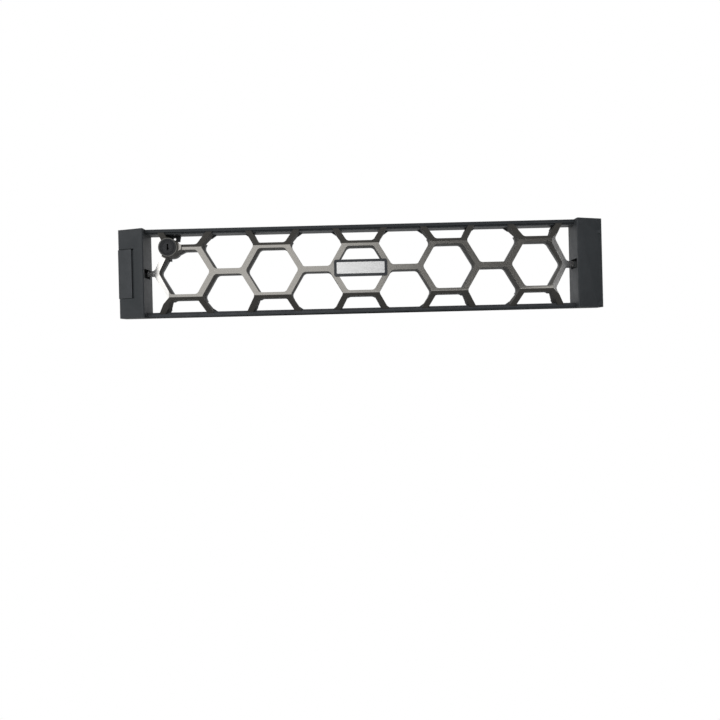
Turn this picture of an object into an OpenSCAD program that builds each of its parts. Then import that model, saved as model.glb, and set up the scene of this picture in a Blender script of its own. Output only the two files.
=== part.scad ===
// Front bezel of a two-unit rack server: honeycomb grille, key lock and push release.
// X runs along the width, the front faces -Y and +Z is up. The origin is the middle of
// the underside of the bottom rail. All sizes are in millimetres.

/* [Body] */
// Width over the two end caps
body_w = 479; // [470:0.5:500]
// Height of the bezel
body_h = 87.5; // [86.5:0.5:94]
// Depth of the top and bottom rails
rail_d = 16; // [14:0.5:20]
// Height of a rail
rail_h = 5; // [4.6:0.1:5.6]
// Height of the front lip of a rail
lip_h = 3.2; // [2.6:0.1:3.6]
// Set-back of the ledge behind the front lip of a rail
ledge_back = 1.5; // [1:0.1:2]
// Wall thickness of the moulded end caps
wall = 1.8; // [1.5:0.1:2]

/* [End caps] */
// Width of an end cap
cap_w = 27.3; // [26.5:0.1:30]
// Stand-off of the ridge of a cap in front of the rails
cap_proud = 8; // [7:0.5:10]
// Thickness of the rear covers
cover_t = 1.6; // [1.4:0.1:2]
// Height of the notch that takes a grille tongue
notch_h = 9.2; // [8:0.2:11]

/* [Honeycomb] */
// Number of cell pitches in the clear width between the end caps
pitch_count = 4.895; // [4.87:0.005:4.92]
// Height of a cell between the middles of its struts, as a share of the bezel's height
cell_share = 0.5577; // [0.54:0.002:0.57]
// Width of a strut of the front grille
strut_w = 5.4; // [5:0.1:6]
// Corner radius of a cell opening
cell_r = 4; // [3:0.5:5]
// Stand-off of the flat face in front of the rails
face_proud = 7; // [6:0.5:7.5]
// Set-back of the outermost cell corners behind the flat face
end_drop = 6; // [4:0.5:7]
// Depth of the front grille
grille_d = 12; // [11:0.5:13]
// Thickness of the front skin of a hollow strut
skin = 2; // [1.6:0.1:2.6]
// Width of the channel inside a hollow strut
channel_w = 3.2; // [2.8:0.1:3.4]
// Width of a strut of the rear frame
backing_w = 5.6; // [5.4:0.1:6]
// Depth of the rear frame
backing_d = 5; // [4.6:0.1:5.2]

/* [Badge] */
// Width of the badge plate
badge_w = 52; // [48:1:54]
// Height of the badge plate
badge_h = 16.5; // [15:0.5:18]
// Thickness of the badge plate
badge_t = 1.4; // [1.2:0.1:2]

/* [Lock] */
// Radius of the front flange of the lock
lock_flange_r = 8.2; // [7.8:0.1:8.6]
// Radius of the lock barrel
lock_barrel_r = 6.6; // [6.2:0.1:6.8]
// Radius of the turning plug
lock_plug_r = 4.8; // [4.4:0.1:5]
// Radius of the cam plate
cam_r = 6.6; // [6:0.1:6.8]
// Reach of the cam nose from the lock axis
cam_reach = 12.9; // [12:0.1:13.6]
// Width of the key slot
key_slot_w = 1.4; // [1:0.1:1.8]

/* [Release] */
// Travel of the release button
release_travel = 2.2; // [1.8:0.1:2.4]
// Height of the release button
button_h = 48.4; // [44:0.2:50]
// Width of the button face, from the outer edge inwards
button_w = 17; // [16:0.5:17.5]
// Length of the latch hooks behind the covers
hook_reach = 4; // [3:0.5:6]
// Wire thickness of the return springs
spring_wire = 0.6; // [0.5:0.05:0.7]

/* [Hidden] */
$fn = 48;

// Gap between pieces that are fitted face to face side by side
fit = 0.2;
// Running clearance of the plug in its barrel
run_gap = 0.05;
// Overshoot of a cutting solid past the face that it opens
over = 1;

// Places across the width and the height
half_w = body_w / 2;
cap_x = half_w - cap_w;
mid_z = body_h / 2;
// Places through the depth, from front to rear
rail_front = -rail_d / 2;
rail_rear = rail_d / 2;
ledge_y = rail_front + ledge_back;
ridge_y = rail_front - cap_proud;
face_y = rail_front - face_proud;
grille_rear = face_y + grille_d;
backing_rear = grille_rear + backing_d;
cover_y = rail_rear - cover_t;
// How far back the slanting struts reach where they meet the rails
strut_seat = grille_rear + 6.5;
// Height of the stubs that back the ends of the slanting struts
stub_h = 3.5;
// Half the height of the corner pieces of the rear frame beyond the middle of their struts
corner_reach = 4;

// Honeycomb lattice: five full cells side by side, and the part cells round them
last_col = 2;
cell_pitch = 2 * cap_x / pitch_count;
cell_h = body_h * cell_share;
half_cell = cell_h / 2;
side_half = cell_pitch / 6;
lean = atan2(half_cell, side_half);
fold_x = last_col * cell_pitch + side_half;
fold_top = mid_z + half_cell;
fold_bottom = mid_z - half_cell;
tip_x = last_col * cell_pitch + 2 * side_half;
hollow_r = cell_r + (strut_w - channel_w) / 2;

// Slope of the front of a cap, from its outer edge in to its ridge
cap_slope = cap_proud / cap_w;
cap_skin = wall * sqrt(1 + cap_slope * cap_slope);
function cap_front(x) = rail_front - (half_w - abs(x)) * cap_slope;

// Lock axis, on the outer top corner of the first full cell
lock_x = -fold_x;
lock_z = fold_top;
boss_r = lock_flange_r + 1.1;
boss_front = face_y - 1.2;
flange_t = 1.2;
flange_seat = boss_front + 0.8;
ring_nut_r = lock_flange_r - 0.1;
ring_nut_t = 1.4;
barrel_rear = backing_rear + ring_nut_t + 0.2;
cam_t = 1.4;
cam_y = barrel_rear + 0.2;
tail_w = 4.2;

// Screws: head radius, head height, shank radius and the radius of their pilot holes
head_r = 2.1;
head_t = 0.9;
shank_r = 0.85;
pilot_r = 0.95;
boss_screw_r = 2.4;
// Cover screws, as distances in from the outer edge and up from the underside
left_screws = [[5, 7.2], [23.5, 6.6], [5, body_h - 8], [22, body_h - 9.2]];
right_screws = [[13, 12], [12.5, mid_z - 12.75], [17, mid_z + 4.25], [17.5, body_h - 22], [23, body_h - 8]];
cover_screw_l = 5.5;
frame_screw_l = 9;

// Release mechanism in the left cap
window_h = button_h + 0.6;
strip_x = -half_w + 9.1;
strip_w = 8;
strip_y = 3;
plate_t = 1.2;
blade_x = -half_w + wall + 0.3;
blade_w = 7;
blade_t = 1.8;
blade_z = wall + 0.3;
rib_up = 12;
spring_up = 19;
spring_r = 2.2;
spring_y = 1;
spring_turns = 4;
flange_half = 3.4;
post_r = 1.4;
link_t = 1;
strip_half = 2.1;
link_y = grille_rear + 0.3;
link_d = 3;
foot_w = 4;
foot_x = strip_x + 1.9;
leg_top = lock_z - 8.35;
leg_shift = -release_travel / 2;
tongue_end = cap_x + 7;
tab_top = lock_z - ring_nut_r - 0.25;
// Rear face of the tab, which the cam passes behind
tab_rear = cam_y - 0.2;
tab_height = 3.2;
rivet_r = 1;

// Hook tabs on the right end, and their heights
tab_heights = [3.7, body_h - 13.1];
tab_h = 3.8;
tab_t = 2.4;
tab_out = 3;
tab_in = 13.5;
// Height of the blank label behind the release mechanism
label_h = 28.8;

// ---------------------------------------------------------------- helpers

function unit(v) = v / norm(v);

// A convex outline with each corner rounded to radius r; swell opens the rounding a little further
module rounded(points, r, swell = 0) {
    n = len(points);
    frames = [for (i = [0:n - 1]) let (
        back = unit(points[(i + n - 1) % n] - points[i]),
        ahead = unit(points[(i + 1) % n] - points[i]),
        half = acos(back * ahead) / 2)
        [points[i], back, ahead, half]];
    polygon([for (f = frames) let (reach = r / tan(f[3]))
        each [f[0] + f[1] * reach, f[0] + f[2] * reach]]);
    for (f = frames) {
        translate(f[0] + unit(f[1] + f[2]) * r / sin(f[3])) circle(r + swell);
    }
}

module rounded_bar(w, h, r) {
    rounded([[-w / 2, -h / 2], [w / 2, -h / 2], [w / 2, h / 2], [-w / 2, h / 2]], r);
}

// Extrudes an outline drawn in X and Z from y0 back to y1
module along_y(y0, y1) {
    translate([0, y1, 0]) rotate([90, 0, 0]) linear_extrude(y1 - y0) children();
}

// Extrudes an outline drawn in Y and Z from x0 to x1
module along_x(x0, x1) {
    translate([x0, 0, 0]) rotate([90, 0, 90]) linear_extrude(x1 - x0) children();
}

// Extrudes an outline drawn in X and Y from z0 up to z1
module along_z(z0, z1) {
    translate([0, 0, z0]) linear_extrude(z1 - z0) children();
}

module rod_y(x, z, r, y0, y1) {
    translate([x, y0, z]) rotate([-90, 0, 0]) cylinder(h = y1 - y0, r = r);
}

module block(x0, x1, y0, y1, z0, z1) {
    translate([x0, y0, z0]) cube([x1 - x0, y1 - y0, z1 - z0]);
}

// ---------------------------------------------------------------- honeycomb lattice

// Outline of one cell opening between struts of width w
function cell_outline(w) = let (
    rise = half_cell - w / 2,
    tip = 2 * side_half - w / 2 / sin(lean),
    shoulder = tip - rise / tan(lean))
    [[-shoulder, -rise], [shoulder, -rise], [tip, 0], [shoulder, rise], [-shoulder, rise], [-tip, 0]];

module cell_openings(w, r, swell = 0) {
    for (col = [-last_col:last_col], row = [-1:1]) {
        translate([col * cell_pitch, mid_z + row * cell_h]) rounded(cell_outline(w), r, swell);
    }
    for (col = [-last_col - 1:last_col], row = [-1, 1]) {
        translate([(col + 0.5) * cell_pitch, mid_z + row * half_cell]) rounded(cell_outline(w), r, swell);
    }
}

module struts(w, r, z0, z1, swell = 0) {
    difference() {
        translate([-cap_x + fit, z0]) square([2 * (cap_x - fit), z1 - z0]);
        cell_openings(w, r, swell);
    }
}

// The faceted front: a flat face that folds back to the rails and to the two caps
module faceted_block(set_back, rear) {
    rail_fall = (ledge_y - ledge_back + 0.3 - face_y) / (body_h - lip_h - fold_top);
    end_fall = end_drop / side_half;
    front = face_y + set_back;
    deep = rear - front;
    intersection() {
        along_x(-half_w, half_w) polygon([
            [front, fold_bottom], [front, fold_top],
            [rear, fold_top + deep / rail_fall], [rear, fold_bottom - deep / rail_fall]]);
        along_z(-body_h, 2 * body_h) polygon([
            [-fold_x, front], [fold_x, front],
            [fold_x + deep / end_fall, rear], [-fold_x - deep / end_fall, rear]]);
    }
}

// Teardrop web that joins the lock boss to the top strut beside it
module lock_web(w) {
    translate([lock_x, lock_z]) circle(boss_r);
    polygon([
        [lock_x, lock_z + boss_r - 0.3], [lock_x + boss_r + 4, lock_z + w / 2],
        [lock_x + boss_r + 4, lock_z - w / 2], [lock_x, lock_z - boss_r + 0.3]]);
}

// Corners and tips of the full cells, where the two honeycombs are joined
function joint_places() = [
    for (col = [-last_col:last_col], sx = [-1, 1], row = [-1:1])
        [col * cell_pitch + sx * side_half * (row == 0 ? 2 : 1), mid_z + row * half_cell]
];
function near(p, q) = norm(p - q) < 1;
lock_place = [lock_x, lock_z];
link_place = [-tip_x, mid_z];
screw_places = [
    [-2 * cell_pitch + side_half, fold_top],
    [-cell_pitch + side_half, fold_top],
    [-side_half, fold_top]
];
function is_screwed(p) = len([for (s = screw_places) if (near(p, s)) s]) > 0;
stake_places = [for (p = joint_places())
    if (!near(p, lock_place) && !near(p, link_place) && !is_screwed(p)) p];

// ---------------------------------------------------------------- outer frame

module rail() {
    along_x(-cap_x - wall / 3, cap_x + wall / 3) polygon([
        [rail_front, 0.5], [rail_front + 0.5, 0], [rail_rear - 0.6, 0], [rail_rear, 0.6],
        [rail_rear, rail_h - 0.6], [rail_rear - 0.6, rail_h],
        [ledge_y, rail_h], [ledge_y, lip_h], [rail_front, lip_h]]);
}

// Stub on the bottom rail behind the end of one slanting strut, flared on its outer side
module rail_stub(x, side) {
    flare = 3;
    half = strut_w / 2 / sin(lean);
    foot = x + side * (fold_bottom - rail_h) / tan(lean);
    head = x + side * (fold_bottom - rail_h - stub_h) / tan(lean);
    along_y(strut_seat, rail_rear - 2.5) polygon([
        [foot - side * half, rail_h - 1], [foot + side * (half + flare), rail_h - 1],
        [foot + side * (half + flare), rail_h], [head + side * half, rail_h + stub_h],
        [head - side * half, rail_h + stub_h], [foot - side * half, rail_h]]);
}

module bottom_rail() {
    rail();
    for (col = [-last_col:last_col], side = [-1, 1]) {
        rail_stub(col * cell_pitch + side * side_half, side);
    }
}

module top_rail() {
    translate([0, 0, body_h]) mirror([0, 0, 1]) rail();
    translate([0, 0, body_h]) mirror([0, 0, 1]) {
        for (col = [-last_col:last_col], side = [-1, 1]) {
            if (col != -last_col || side != -1) rail_stub(col * cell_pitch + side * side_half, side);
        }
    }
    lock_stub();
}

// Wide stub that backs the lock corner from the top rail
module lock_stub() {
    low = lock_z + ring_nut_r + 0.4;
    high = body_h - rail_h;
    along_y(strut_seat, rail_rear - 2.3) polygon([
        [lock_x - 11.5, high + 1], [lock_x - 11.5, high], [lock_x - 5.5, low],
        [lock_x + 6, low], [lock_x + 7, high], [lock_x + 7, high + 1]]);
}

module cap_shell() {
    difference() {
        along_z(0, body_h) polygon([
            [cap_x, rail_rear], [cap_x, ridge_y + 0.8], [cap_x + 0.8, ridge_y],
            [half_w - 0.8, cap_front(half_w - 0.8)], [half_w, rail_front + 0.8], [half_w, rail_rear]]);
        along_z(wall, body_h - wall) polygon([
            [cap_x + wall, rail_rear + over], [cap_x + wall, cap_front(cap_x + wall) + cap_skin],
            [half_w - wall, cap_front(half_w - wall) + cap_skin], [half_w - wall, rail_rear + over]]);
        block(cap_x + 0.8, half_w - 0.8, cover_y, rail_rear + over, 0.8, body_h - 0.8);
        block(cap_x - over, cap_x + wall + over, face_y + 2, backing_rear + 0.6,
            mid_z - notch_h / 2, mid_z + notch_h / 2);
    }
}

module cover_bosses(places, side) {
    for (p = places) {
        x = side * (half_w - p[0]);
        difference() {
            rod_y(x, p[1], boss_screw_r, cap_front(x) + 0.9, cover_y);
            rod_y(x, p[1], pilot_r, cover_y - 6, cover_y + over);
        }
    }
}

module left_cap() {
    difference() {
        mirror([1, 0, 0]) cap_shell();
        block(-half_w - over, -half_w + button_w, ridge_y - over, strip_y,
            mid_z - window_h / 2, mid_z + window_h / 2);
    }
    cover_bosses(left_screws, -1);
    for (side = [-1, 1]) {
        translate([-cap_x - wall - 5.9, spring_y, mid_z + side * spring_up]) rotate([0, 90, 0])
            cylinder(h = 6.4, r = post_r);
    }
}

module right_cap() {
    difference() {
        cap_shell();
        for (z = tab_heights) {
            block(half_w - wall - over, half_w + over, cover_y - tab_t - 0.1, cover_y,
                z - tab_h / 2 - 0.1, z + tab_h / 2 + 0.1);
        }
    }
    cover_bosses(right_screws, 1);
    for (z = tab_heights) {
        block(half_w - tab_in, half_w - wall, -5, cover_y - tab_t, z - 1.8, z + 1.8);
        block(half_w - tab_in + 3, half_w - wall, cap_front(half_w - tab_in + 3) + 1, -5, z - 1.8, z + 1.8);
    }
}

module outer_frame() {
    color([0.20, 0.21, 0.22])
    difference() {
        union() {
            bottom_rail();
            top_rail();
            left_cap();
            right_cap();
        }
        // Slot for the spring clip in the rear of the top rail, and the screw hole below it
        block(lock_x - 3.2, lock_x + 6.8, 2, rail_rear + over, body_h - 4.1, body_h - 2.5);
        rod_y(lock_x + 0.8, lock_z + ring_nut_r + 3, 1.5, 1, rail_rear);
    }
}

// ---------------------------------------------------------------- grille and rear frame

// Side view of the grille: its back steps rearwards towards the rails
module grille_back() {
    turn = fold_bottom - corner_reach - 0.2;
    along_x(-half_w, half_w) polygon([
        [ridge_y, -over], [ridge_y, body_h + over],
        [strut_seat, body_h + over], [strut_seat, body_h - rail_h - stub_h],
        [grille_rear, body_h - turn], [grille_rear, turn],
        [strut_seat, rail_h + stub_h], [strut_seat, -over]]);
}

module front_grille() {
    color([0.62, 0.60, 0.57])
    difference() {
        union() {
            difference() {
                intersection() {
                    faceted_block(0, rail_rear);
                    grille_back();
                    along_y(face_y - over, rail_rear) struts(strut_w, cell_r, lip_h + 0.1, body_h - lip_h - 0.1);
                }
                intersection() {
                    faceted_block(skin, rail_rear);
                    along_y(face_y, rail_rear) struts(channel_w, hollow_r, rail_h + 0.1, body_h - rail_h - 0.1);
                }
                for (z = [-over, body_h - rail_h - fit]) {
                    block(-half_w, half_w, ledge_y, rail_rear, z, z + rail_h + fit + over);
                }
            }
            along_y(boss_front, grille_rear) lock_web(strut_w * 0.8);
            intersection() {
                faceted_block(skin / 2, backing_rear);
                for (p = stake_places) rod_y(p[0], p[1], 1.2, face_y, backing_rear);
            }
            for (p = stake_places) {
                translate([p[0], backing_rear, p[1]]) rotate([-90, 0, 0]) cylinder(h = 0.8, r1 = 1.9, r2 = 1.2);
            }
            intersection() {
                faceted_block(skin / 2, grille_rear);
                for (p = screw_places) rod_y(p[0], p[1], head_r, face_y, grille_rear);
            }
        }
        for (p = screw_places) rod_y(p[0], p[1], pilot_r, grille_rear - 7, grille_rear + over);
        rod_y(lock_x, lock_z, lock_barrel_r + 0.1, boss_front - over, strut_seat + over);
        rod_y(lock_x, lock_z, lock_flange_r + 0.1, boss_front - over, flange_seat);
    }
}

module link_outline(grow, slide) {
    run = (leg_top - mid_z) / tan(lean);
    half = link_t / 2 + grow;
    slant = half / sin(lean);
    x = -tip_x + leg_shift;
    polygon([
        [x - slant - grow, mid_z - half], [x + slant + slide, mid_z - half],
        [x + run + slant + slide, leg_top + grow], [x + run - slant, leg_top + grow],
        [x - slant, mid_z]]);
}

module rear_frame() {
    hole_r = 1.3;
    color([0.17, 0.18, 0.18])
    difference() {
        union() {
            along_y(grille_rear, backing_rear) {
                difference() {
                    struts(backing_w, cell_r + 1, fold_bottom - corner_reach, fold_top + corner_reach, 0.02);
                    left_tip_cut();
                }
                intersection() {
                    lock_web(backing_w);
                    translate([-half_w, fold_bottom]) square([half_w, fold_top + corner_reach - fold_bottom]);
                }
                translate([tip_x, mid_z - 3.2]) square([tongue_end - tip_x, 6.4]);
                translate([0, mid_z]) square([4 * side_half - 2, 8.4], center = true);
            }
            along_y(backing_rear - over, backing_rear + 0.6) translate([0, mid_z]) rounded_bar(36, 7.2, 1.5);
        }
        for (p = concat(stake_places, screw_places)) {
            rod_y(p[0], p[1], hole_r, grille_rear - over, backing_rear + over);
        }
        for (side = [-1, 1]) rod_y(side * 6.75, mid_z, hole_r, grille_rear - over, backing_rear + over);
        rod_y(lock_x, lock_z, lock_barrel_r + 0.1, grille_rear - over, backing_rear + over);
        along_y(grille_rear - over, link_y + link_d + 0.2) {
            link_outline(0.25, release_travel);
        }
        along_y(grille_rear - over, link_y + link_t + 0.2)
            translate([-tongue_end, mid_z - strip_half - 0.3])
                square([tongue_end - tip_x + release_travel + 0.3, 2 * strip_half + 0.6]);
        tab_window();
    }
}

// Everything to the left of the outer edges of the leftmost ring, near its tip
module left_tip_cut() {
    reach = backing_w / 2 / sin(lean) + 0.15;
    up = 8;
    polygon([
        [-tip_x - reach, mid_z], [-tip_x - reach + up / tan(lean), mid_z + up], [-half_w, mid_z + up],
        [-half_w, mid_z - up], [-tip_x - reach + up / tan(lean), mid_z - up]]);
}

// Window that lets the end of the link reach the cam
module tab_window() {
    run = (leg_top - mid_z) / tan(lean);
    left = -tip_x + leg_shift + run - 1.6;
    block(left, left + release_travel + 2.6, grille_rear - over, backing_rear + over,
        tab_top - tab_height - 0.3, tab_top + 0.3);
}

// ---------------------------------------------------------------- rear covers

module cover_plate(places, side) {
    difference() {
        block(cap_x + 0.9, half_w - 0.9, cover_y, rail_rear, 0.9, body_h - 0.9);
        for (p = places) {
            x = half_w - p[0];
            rod_y(x, p[1], shank_r + 0.2, cover_y - over, rail_rear + over);
            rod_y(x, p[1], head_r + 0.2, rail_rear - head_t, rail_rear + over);
        }
    }
}

module left_rear_cover() {
    color([0.23, 0.24, 0.24])
    mirror([1, 0, 0]) difference() {
        cover_plate(left_screws, -1);
        // Snap windows
        for (z = [17.6, body_h - 17.7]) {
            block(cap_x + 3, cap_x + 15, cover_y - over, rail_rear + over, z - 1.3, z + 1.3);
        }
        // Slots for the latch hooks
        for (z = [wall, body_h - blade_z - blade_t - 0.3]) {
            block(-blade_x - blade_w - release_travel - 0.3, half_w - wall, cover_y - over, rail_rear + over,
                z, z + blade_t + 0.6);
        }
        // Relief beside the release button
        block(half_w - 5.5, half_w, cover_y - over, rail_rear + over, mid_z - 21, mid_z + 21);
    }
}

module right_rear_cover() {
    color([0.21, 0.22, 0.22])
    difference() {
        cover_plate(right_screws, 1);
        // Shallow finger recess along the outer edge
        block(half_w - 9, half_w, rail_rear - 0.5, rail_rear + over, mid_z - 13.5, mid_z + 9);
        // Pocket behind the lower hook tab
        block(half_w - 15, half_w - 7, rail_rear - 0.6, rail_rear + over,
            tab_heights[1] - tab_h, tab_heights[1] - tab_h + 1.5);
    }
}

module pan_screw(x, z, seat, length) {
    difference() {
        union() {
            rod_y(x, z, head_r, seat, seat + head_t);
            rod_y(x, z, shank_r, seat - length, seat + head_t / 2);
        }
        for (turn = [0, 90]) {
            translate([x, seat + head_t, z]) rotate([0, turn, 0]) cube([head_r * 1.05, head_t, head_r / 4], center = true);
        }
    }
}

module left_cover_screws() {
    color([0.12, 0.12, 0.13])
    for (p = left_screws) pan_screw(-half_w + p[0], p[1], rail_rear - head_t, cover_screw_l);
}

module right_cover_screws() {
    color([0.12, 0.12, 0.13])
    for (p = right_screws) pan_screw(half_w - p[0], p[1], rail_rear - head_t, cover_screw_l);
}

module frame_screws() {
    color([0.80, 0.81, 0.82])
    for (p = screw_places) pan_screw(p[0], p[1], backing_rear, frame_screw_l);
}

// ---------------------------------------------------------------- badge

carrier_half = 7;
carrier_tip = 2 * side_half - strut_w / 2 / sin(lean) - 0.3;
carrier_end = carrier_tip - 2;

module carrier_outline(inset) {
    high = carrier_half - inset;
    end = carrier_end - inset;
    shoulder = carrier_tip - inset - high / tan(lean);
    low = (carrier_tip - inset - end) * tan(lean);
    translate([0, mid_z]) polygon([
        [-shoulder, -high], [shoulder, -high], [end, -low], [end, low],
        [shoulder, high], [-shoulder, high], [-end, low], [-end, -low]]);
}

module badge_carrier() {
    color([0.15, 0.16, 0.17])
    difference() {
        union() {
            difference() {
                along_y(face_y, grille_rear) carrier_outline(0);
                along_y(face_y + 1.6, grille_rear + over) carrier_outline(1.6);
            }
            for (side = [-1, 1]) rod_y(side * 6.75, mid_z, boss_screw_r, face_y + over, grille_rear);
        }
        for (side = [-1, 1]) rod_y(side * 6.75, mid_z, pilot_r, grille_rear - 7, grille_rear + over);
    }
}

module badge_plate() {
    color([0.16, 0.17, 0.18])
    difference() {
        along_y(face_y - badge_t, face_y) translate([0, mid_z]) rounded_bar(badge_w, badge_h, 2);
        along_y(face_y - badge_t - over, face_y - badge_t + 0.6) translate([0, mid_z])
            rounded_bar(badge_w - 5, badge_h - 5, 1);
    }
}

module badge_inlay() {
    color([0.88, 0.88, 0.87])
    along_y(face_y - badge_t - 0.2, face_y - badge_t + 0.6) translate([0, mid_z])
        rounded_bar(badge_w - 5.2, badge_h - 5.2, 0.9);
}

module badge_screws() {
    color([0.20, 0.20, 0.21])
    for (side = [-1, 1]) pan_screw(side * 6.75, mid_z, backing_rear + 0.6, 9.5);
}

// ---------------------------------------------------------------- lock

module lock_housing() {
    color([0.14, 0.14, 0.15])
    difference() {
        union() {
            rod_y(lock_x, lock_z, lock_flange_r, flange_seat - flange_t, flange_seat);
            rod_y(lock_x, lock_z, lock_barrel_r, flange_seat - flange_t, barrel_rear);
        }
        rod_y(lock_x, lock_z, lock_plug_r + run_gap, flange_seat - 2 * flange_t, barrel_rear + over);
        rod_y(lock_x, lock_z, lock_flange_r - 0.9, flange_seat - flange_t - over, flange_seat - flange_t + 0.3);
    }
}

module lock_ring_nut() {
    color([0.75, 0.76, 0.77])
    difference() {
        rod_y(lock_x, lock_z, ring_nut_r, backing_rear, backing_rear + ring_nut_t);
        rod_y(lock_x, lock_z, lock_barrel_r + run_gap, backing_rear - over, backing_rear + ring_nut_t + over);
        for (turn = [45, 135]) {
            translate([lock_x, backing_rear + ring_nut_t, lock_z]) rotate([0, turn, 0])
                cube([2 * ring_nut_r + 1, 1.4, 1.6], center = true);
        }
    }
}

module lock_plug() {
    front = flange_seat - flange_t + 0.1;
    color([0.18, 0.18, 0.19])
    difference() {
        union() {
            rod_y(lock_x, lock_z, lock_plug_r, front, cam_y);
            translate([lock_x - tail_w / 2, cam_y - over, lock_z - tail_w / 2])
                cube([tail_w, over + cam_t - 0.2, tail_w]);
        }
        translate([lock_x, front, lock_z]) cube([key_slot_w, 14, 6.4], center = true);
        translate([lock_x + key_slot_w / 2, front, lock_z - 1.2]) cube([1.2, 14, 1.2], center = true);
        rod_y(lock_x, lock_z, pilot_r, cam_y - 4, cam_y + cam_t + over);
    }
}

module lock_cam() {
    flat = 5.7;
    color([0.78, 0.79, 0.80])
    translate([lock_x, 0, lock_z]) difference() {
        union() {
            rod_y(0, 0, cam_r, cam_y, cam_y + cam_t);
            along_y(cam_y, cam_y + cam_t) polygon([
                [0, flat - 0.1], [5.4, flat - 0.1], [8.8, 4.1], [cam_reach - 0.6, 2.9], [cam_reach, 2],
                [cam_reach - 0.3, 1.1], [7.9, -1.4], [6.1, -5], [3, -5], [0, -3]]);
        }
        block(-2 * cam_r, 2 * cam_r, cam_y - over, cam_y + cam_t + over, flat, 2 * cam_r);
        block(-tail_w / 2 - 0.1, tail_w / 2 + 0.1, cam_y - over, cam_y + cam_t + over,
            -tail_w / 2 - 0.1, tail_w / 2 + 0.1);
        rod_y(5, 3.1, 0.7, cam_y - over, cam_y + cam_t + over);
    }
}

module cam_screw() {
    seat = cam_y + cam_t;
    color([0.20, 0.20, 0.20])
    difference() {
        union() {
            rod_y(lock_x, lock_z, 3.4, seat, seat + 1.5);
            rod_y(lock_x, lock_z, shank_r, seat - 4.5, seat + 0.5);
        }
        translate([lock_x, seat + 1.5, lock_z]) rotate([0, 35, 0]) cube([4.6, 1.2, 0.9], center = true);
    }
}

// ---------------------------------------------------------------- release mechanism

module release_button() {
    edge = -half_w - 0.8;
    flank = edge + 1.7;
    step = -half_w + button_w - release_travel - 0.5;
    lip = -half_w + button_w + 3;
    outer = 0.35;
    under = cap_skin + 0.25;
    inner = under + 1.3;
    color([0.22, 0.23, 0.24]) {
        along_z(mid_z - button_h / 2, mid_z + button_h / 2) polygon([
            [edge, cap_front(edge) + outer + 0.6], [edge + 0.6, cap_front(edge + 0.6) + outer],
            [step, cap_front(step) + outer], [step, cap_front(step) + under],
            [lip, cap_front(lip) + under], [lip, cap_front(lip) + inner],
            [flank, cap_front(flank) + inner], [flank, strip_y - 0.4], [edge, strip_y - 0.4]]);
        for (side = [-1, 1]) {
            along_z(mid_z + side * rib_up - 1, mid_z + side * rib_up + 1) polygon([
                [strip_x + 1, cap_front(strip_x + 1) + inner - 0.5],
                [strip_x + 7, cap_front(strip_x + 7) + inner - 0.5],
                [strip_x + 7, strip_y], [strip_x + 1, strip_y]]);
        }
    }
}

// Hook blade of the latch plate at its lower end
module hook_blade() {
    tip = rail_rear + hook_reach;
    along_z(blade_z, blade_z + blade_t) polygon([
        [blade_x, strip_y], [strip_x + 1, strip_y], [strip_x + 1, strip_y + plate_t],
        [blade_x + blade_w, strip_y + plate_t], [blade_x + blade_w, tip], [blade_x + 1, tip],
        [blade_x - 1.5, tip - 1.4], [blade_x - 1.5, tip - 2], [blade_x, tip - 2]]);
}

module latch_plate() {
    rivet_x = foot_x + foot_w / 2;
    color([0.74, 0.75, 0.76])
    difference() {
        union() {
            block(strip_x, strip_x + strip_w, strip_y, strip_y + plate_t, blade_z, body_h - blade_z);
            hook_blade();
            translate([0, 0, body_h]) mirror([0, 0, 1]) hook_blade();
            for (side = [-1, 1]) {
                z = mid_z + side * spring_up;
                block(strip_x + strip_w - plate_t, strip_x + strip_w, spring_y - 2.8, strip_y + plate_t,
                    z - flange_half, z + flange_half);
            }
        }
        rod_y(rivet_x, mid_z + 2.6, rivet_r + 0.05, strip_y - over, strip_y + plate_t + over);
    }
}

module lock_link() {
    run = (leg_top - mid_z) / tan(lean);
    stem = -tip_x + leg_shift + run - 1.2;
    tab_end = lock_x - 1.65;
    color([0.80, 0.81, 0.82])
    difference() {
        union() {
            along_y(link_y, link_y + link_d) link_outline(0, 0);
            block(foot_x, -tip_x + leg_shift + 1, link_y, link_y + link_t, mid_z - strip_half, mid_z + strip_half);
            block(foot_x, foot_x + foot_w, link_y, strip_y, mid_z - link_t / 2, mid_z + link_t / 2);
            block(foot_x, foot_x + foot_w, strip_y - 1, strip_y, mid_z - link_t / 2, mid_z + 4.6);
            block(stem, stem + 1.6, link_y, tab_rear, tab_top - tab_height, tab_top);
            block(stem, tab_end, tab_rear - cam_t, tab_rear, tab_top - tab_height, tab_top);
        }
        rod_y(foot_x + foot_w / 2, mid_z + 2.6, rivet_r + 0.05, strip_y - 2, strip_y + over);
    }
}

module link_rivet() {
    x = foot_x + foot_w / 2;
    z = mid_z + 2.6;
    color([0.70, 0.71, 0.72]) {
        rod_y(x, z, rivet_r, strip_y - 1.6, strip_y + plate_t + 0.6);
        rod_y(x, z, rivet_r + 0.7, strip_y - 1.6, strip_y - 1);
        rod_y(x, z, rivet_r + 0.7, strip_y + plate_t, strip_y + plate_t + 0.6);
    }
}

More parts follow.
